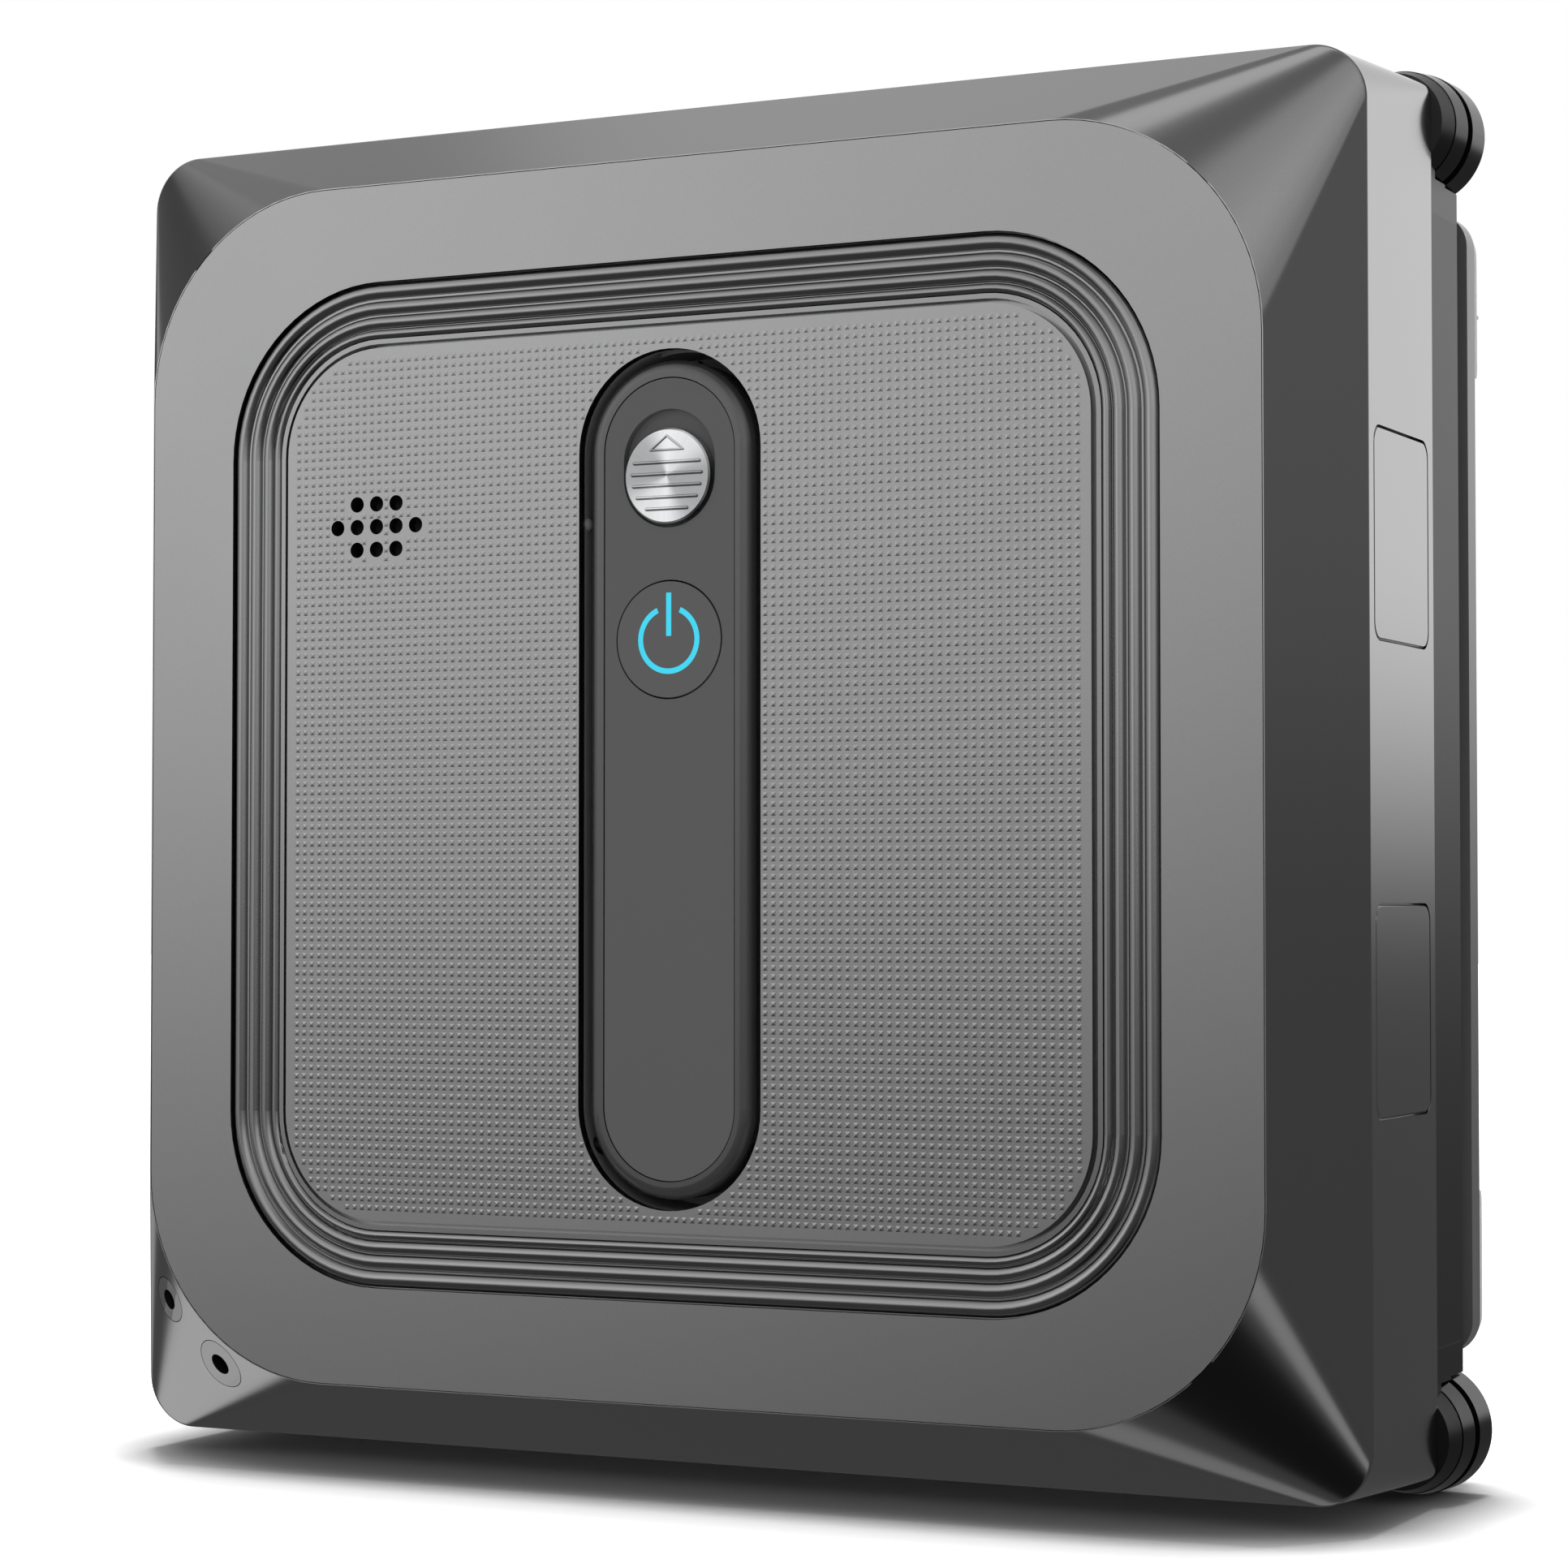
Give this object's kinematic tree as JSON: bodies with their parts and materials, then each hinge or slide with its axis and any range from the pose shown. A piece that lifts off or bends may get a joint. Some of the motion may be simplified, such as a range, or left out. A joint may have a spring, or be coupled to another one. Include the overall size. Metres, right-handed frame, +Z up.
{
  "type": "window cleaning robot",
  "caption": "Square suction window cleaning robot with twin tracks, corner guide rollers, a rear pad and a hinged front carry handle with power button and latch slider.",
  "frame": {"origin": "on the floor under the centre of the whole robot's box, where the robot stands upright on its lower corner rollers", "axes": "+X to the robot's left-hand track as seen from the glass (right in a front view), +Y from the control face to the cleaning pad and the glass, +Z up"},
  "size_m": [0.2488, 0.0876, 0.2488],
  "materials": {
    "casing": "glossy moulded plastic with a metallic grey lacquer",
    "face": "satin silver grey lacquer",
    "ring": "glossy grey beads",
    "panel": "satin grey with a field of small pyramids",
    "well": "matte black",
    "handle": "glossy black",
    "strip": "fine matte dark grey",
    "button": "fine matte dark grey",
    "slider": "radially brushed",
    "steel": "turned or stamped, zinc plated",
    "board": "green solder mask",
    "light": "tinted clear",
    "black_plastic": "matte black moulded plastic",
    "chassis": "fine matte dark grey",
    "rubber": "matte",
    "battery": "shrink film",
    "fan": "matte dark grey",
    "plate": "satin grey",
    "pad": "short microfibre pile",
    "roller": "glossy black with a soft band",
    "nylon": "natural nylon",
    "brass": "machined",
    "grey_plastic": "matte grey",
    "insert": "satin grey"
  },
  "bodies": {
    "body": {"front_shell": "casing", "face_plate": "face", "face_ring": "ring", "centre_panel": "panel", "handle_well": "well", "handle_hinge_pin": "steel", "speaker": "black_plastic", "speaker_gasket": "rubber", "side_cover_right_upper": "casing", "side_cover_right_lower": "casing", "side_cover_left_upper": "casing", "side_cover_left_lower": "casing", "power_socket": "insert", "rope_anchor": "insert", "rear_chassis": "chassis", "chassis_seal": "rubber", "chassis_screws": "steel", "main_board": "board", "battery_pack": "battery", "fan_housing": "fan", "fan_inlet_ring": "fan", "fan_motor": "steel", "plinth": "black_plastic", "base_plate": "plate", "plate_screws": "steel", "inlet_grille": "black_plastic", "cleaning_pad": "pad", "roller_pins": "steel", "right_track": "rubber", "left_track": "rubber", "right_track_frame": "steel", "left_track_frame": "steel", "right_drive_motor": "steel", "left_drive_motor": "steel", "idler_axles": "steel"},
    "handle": {"handle_frame": "handle", "control_strip": "strip", "switch_board": "board"},
    "latch": {"latch_slider": "slider", "latch_bolt": "steel"},
    "power_button": {"power_button": "button", "light_guide": "light"},
    "fan_rotor": {"fan_impeller": "fan", "fan_shaft": "steel"},
    "right_drive": {"right_drive_gear": "nylon", "right_drive_axle": "steel", "right_drive_pulley": "grey_plastic"},
    "right_pinion": {"right_motor_pinion": "brass"},
    "right_idler": {"right_idler_pulley": "grey_plastic"},
    "left_drive": {"left_drive_gear": "nylon", "left_drive_axle": "steel", "left_drive_pulley": "grey_plastic"},
    "left_pinion": {"left_motor_pinion": "brass"},
    "left_idler": {"left_idler_pulley": "grey_plastic"},
    "roller_right_upper": {"roller_right_upper": "roller"},
    "roller_right_lower": {"roller_right_lower": "roller"},
    "roller_left_upper": {"roller_left_upper": "roller"},
    "roller_left_lower": {"roller_left_lower": "roller"}
  },
  "joints": [
    {"name": "handle_hinge", "type": "hinge", "parent": "body", "child": "handle", "pos_m": [0, -0.03807, 0.06045], "axis": [1, 0, 0], "range_deg": [0, 60]},
    {"name": "latch_slide", "type": "slide", "parent": "handle", "child": "latch", "axis": [0, 0, 1], "range_m": [0, 0.0028]},
    {"name": "button_press", "type": "slide", "parent": "handle", "child": "power_button", "axis": [0, 1, 0], "range_m": [0, 0.0008], "stiffness_N_per_m": 600, "springref_m": -0.0003},
    {"name": "fan_spin", "type": "hinge", "parent": "body", "child": "fan_rotor", "pos_m": [0, 0.00732, 0.1244], "axis": [0, 1, 0], "continuous": true},
    {"name": "right_drive_spin", "type": "hinge", "parent": "body", "child": "right_drive", "pos_m": [0.0732, 0.02633, 0.0716], "axis": [1, 0, 0], "continuous": true},
    {"name": "right_pinion_spin", "type": "hinge", "parent": "body", "child": "right_pinion", "pos_m": [0.0572, 0.01432, 0.0716], "axis": [1, 0, 0], "continuous": true},
    {"name": "right_idler_spin", "type": "hinge", "parent": "body", "child": "right_idler", "pos_m": [0.0732, 0.02633, 0.1772], "axis": [1, 0, 0], "continuous": true},
    {"name": "left_drive_spin", "type": "hinge", "parent": "body", "child": "left_drive", "pos_m": [-0.0732, 0.02633, 0.0716], "axis": [1, 0, 0], "continuous": true},
    {"name": "left_pinion_spin", "type": "hinge", "parent": "body", "child": "left_pinion", "pos_m": [-0.0572, 0.01432, 0.0716], "axis": [1, 0, 0], "continuous": true},
    {"name": "left_idler_spin", "type": "hinge", "parent": "body", "child": "left_idler", "pos_m": [-0.0732, 0.02633, 0.1772], "axis": [1, 0, 0], "continuous": true},
    {"name": "roller_right_upper_spin", "type": "hinge", "parent": "body", "child": "roller_right_upper", "pos_m": [0.1131, 0.02133, 0.2375], "axis": [0, 1, 0], "continuous": true},
    {"name": "roller_right_lower_spin", "type": "hinge", "parent": "body", "child": "roller_right_lower", "pos_m": [0.1131, 0.02133, 0.0113], "axis": [0, 1, 0], "continuous": true},
    {"name": "roller_left_upper_spin", "type": "hinge", "parent": "body", "child": "roller_left_upper", "pos_m": [-0.1131, 0.02133, 0.2375], "axis": [0, 1, 0], "continuous": true},
    {"name": "roller_left_lower_spin", "type": "hinge", "parent": "body", "child": "roller_left_lower", "pos_m": [-0.1131, 0.02133, 0.0113], "axis": [0, 1, 0], "continuous": true}
  ],
  "couplings": [
    {"joint": "right_pinion_spin", "follows": "right_drive_spin", "ratio": -1.5},
    {"joint": "right_idler_spin", "follows": "right_drive_spin", "ratio": 1},
    {"joint": "left_pinion_spin", "follows": "left_drive_spin", "ratio": -1.5},
    {"joint": "left_idler_spin", "follows": "left_drive_spin", "ratio": 1}
  ]
}
